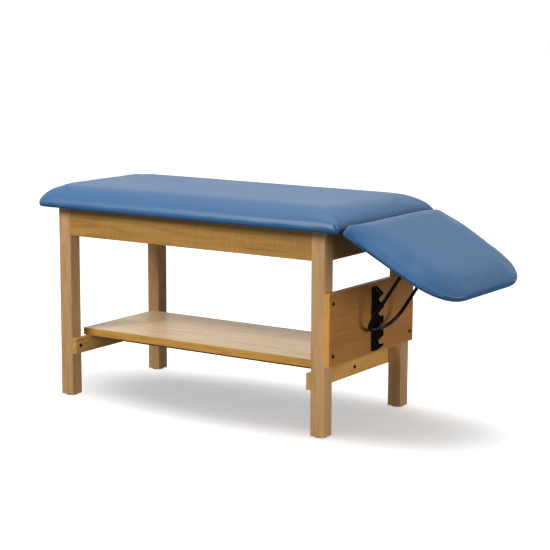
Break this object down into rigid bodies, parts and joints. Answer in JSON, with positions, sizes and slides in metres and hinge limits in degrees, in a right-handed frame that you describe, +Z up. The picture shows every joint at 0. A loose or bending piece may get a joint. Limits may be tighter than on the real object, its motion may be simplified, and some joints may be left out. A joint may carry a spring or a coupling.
{
  "type": "treatment table",
  "caption": "Wooden treatment table with padded blue top, storage shelf, and a hinged padded head section that drops on a ratchet prop.",
  "frame": {"origin": "on the floor, under the middle of the table's outline as stored", "axes": "+Z up, +X along the table towards the hinged head section, +Y to the far long side"},
  "size_m": [1.7626, 0.686, 0.794],
  "materials": {
    "maple": "satin lacquer",
    "maple_laminate": "satin laminate",
    "edge_band": "satin",
    "plywood": "raw, unlacquered",
    "blue_vinyl": "fine grained, semi-gloss",
    "black_steel": "semi-gloss black",
    "zinc_steel": "bright zinc",
    "glide_plastic": "matt"
  },
  "bodies": {
    "table_frame": {"brace_bolts": "black_steel", "centre_brace": "maple", "corner_block_foot_far": "maple", "corner_block_foot_near": "maple", "corner_block_head_far": "maple", "corner_block_head_near": "maple", "end_panel": "maple_laminate", "end_rail_foot": "maple_laminate", "end_rail_head": "maple_laminate", "hinge_leaf_main_far": "zinc_steel", "hinge_leaf_main_near": "zinc_steel", "hinge_pin_far": "zinc_steel", "hinge_pin_near": "zinc_steel", "leg_foot_far": "maple", "leg_foot_near": "maple", "leg_glides": "glide_plastic", "leg_head_far": "maple", "leg_head_near": "maple", "main_board": "plywood", "main_cushion": "blue_vinyl", "panel_band_bottom": "edge_band", "panel_band_far": "edge_band", "panel_band_near": "edge_band", "panel_band_top": "edge_band", "panel_bolts": "black_steel", "ratchet": "black_steel", "shelf_band_far": "edge_band", "shelf_band_foot": "edge_band", "shelf_band_head": "edge_band", "shelf_band_near": "edge_band", "shelf_board": "maple_laminate", "side_rail_far": "maple_laminate", "side_rail_near": "maple_laminate", "stretcher_bolts": "black_steel", "stretcher_foot": "maple", "stretcher_head": "maple"},
    "head_section": {"head_board": "plywood", "head_cushion": "blue_vinyl", "hinge_leaf_head_far": "zinc_steel", "hinge_leaf_head_near": "zinc_steel", "pivot_ear_far": "black_steel", "pivot_ear_near": "black_steel"},
    "prop": {"prop_bail": "black_steel"}
  },
  "joints": [
    {"name": "head_tilt", "type": "hinge", "parent": "table_frame", "child": "head_section", "pos_m": [0.48374, 0, 0.7205], "axis": [0, 1, 0], "range_deg": [-29.03, 0]},
    {"name": "prop_swing", "type": "hinge", "parent": "head_section", "child": "prop", "pos_m": [0.62994, 0, 0.62907], "axis": [0, 1, 0], "range_deg": [-80, 0]}
  ]
}
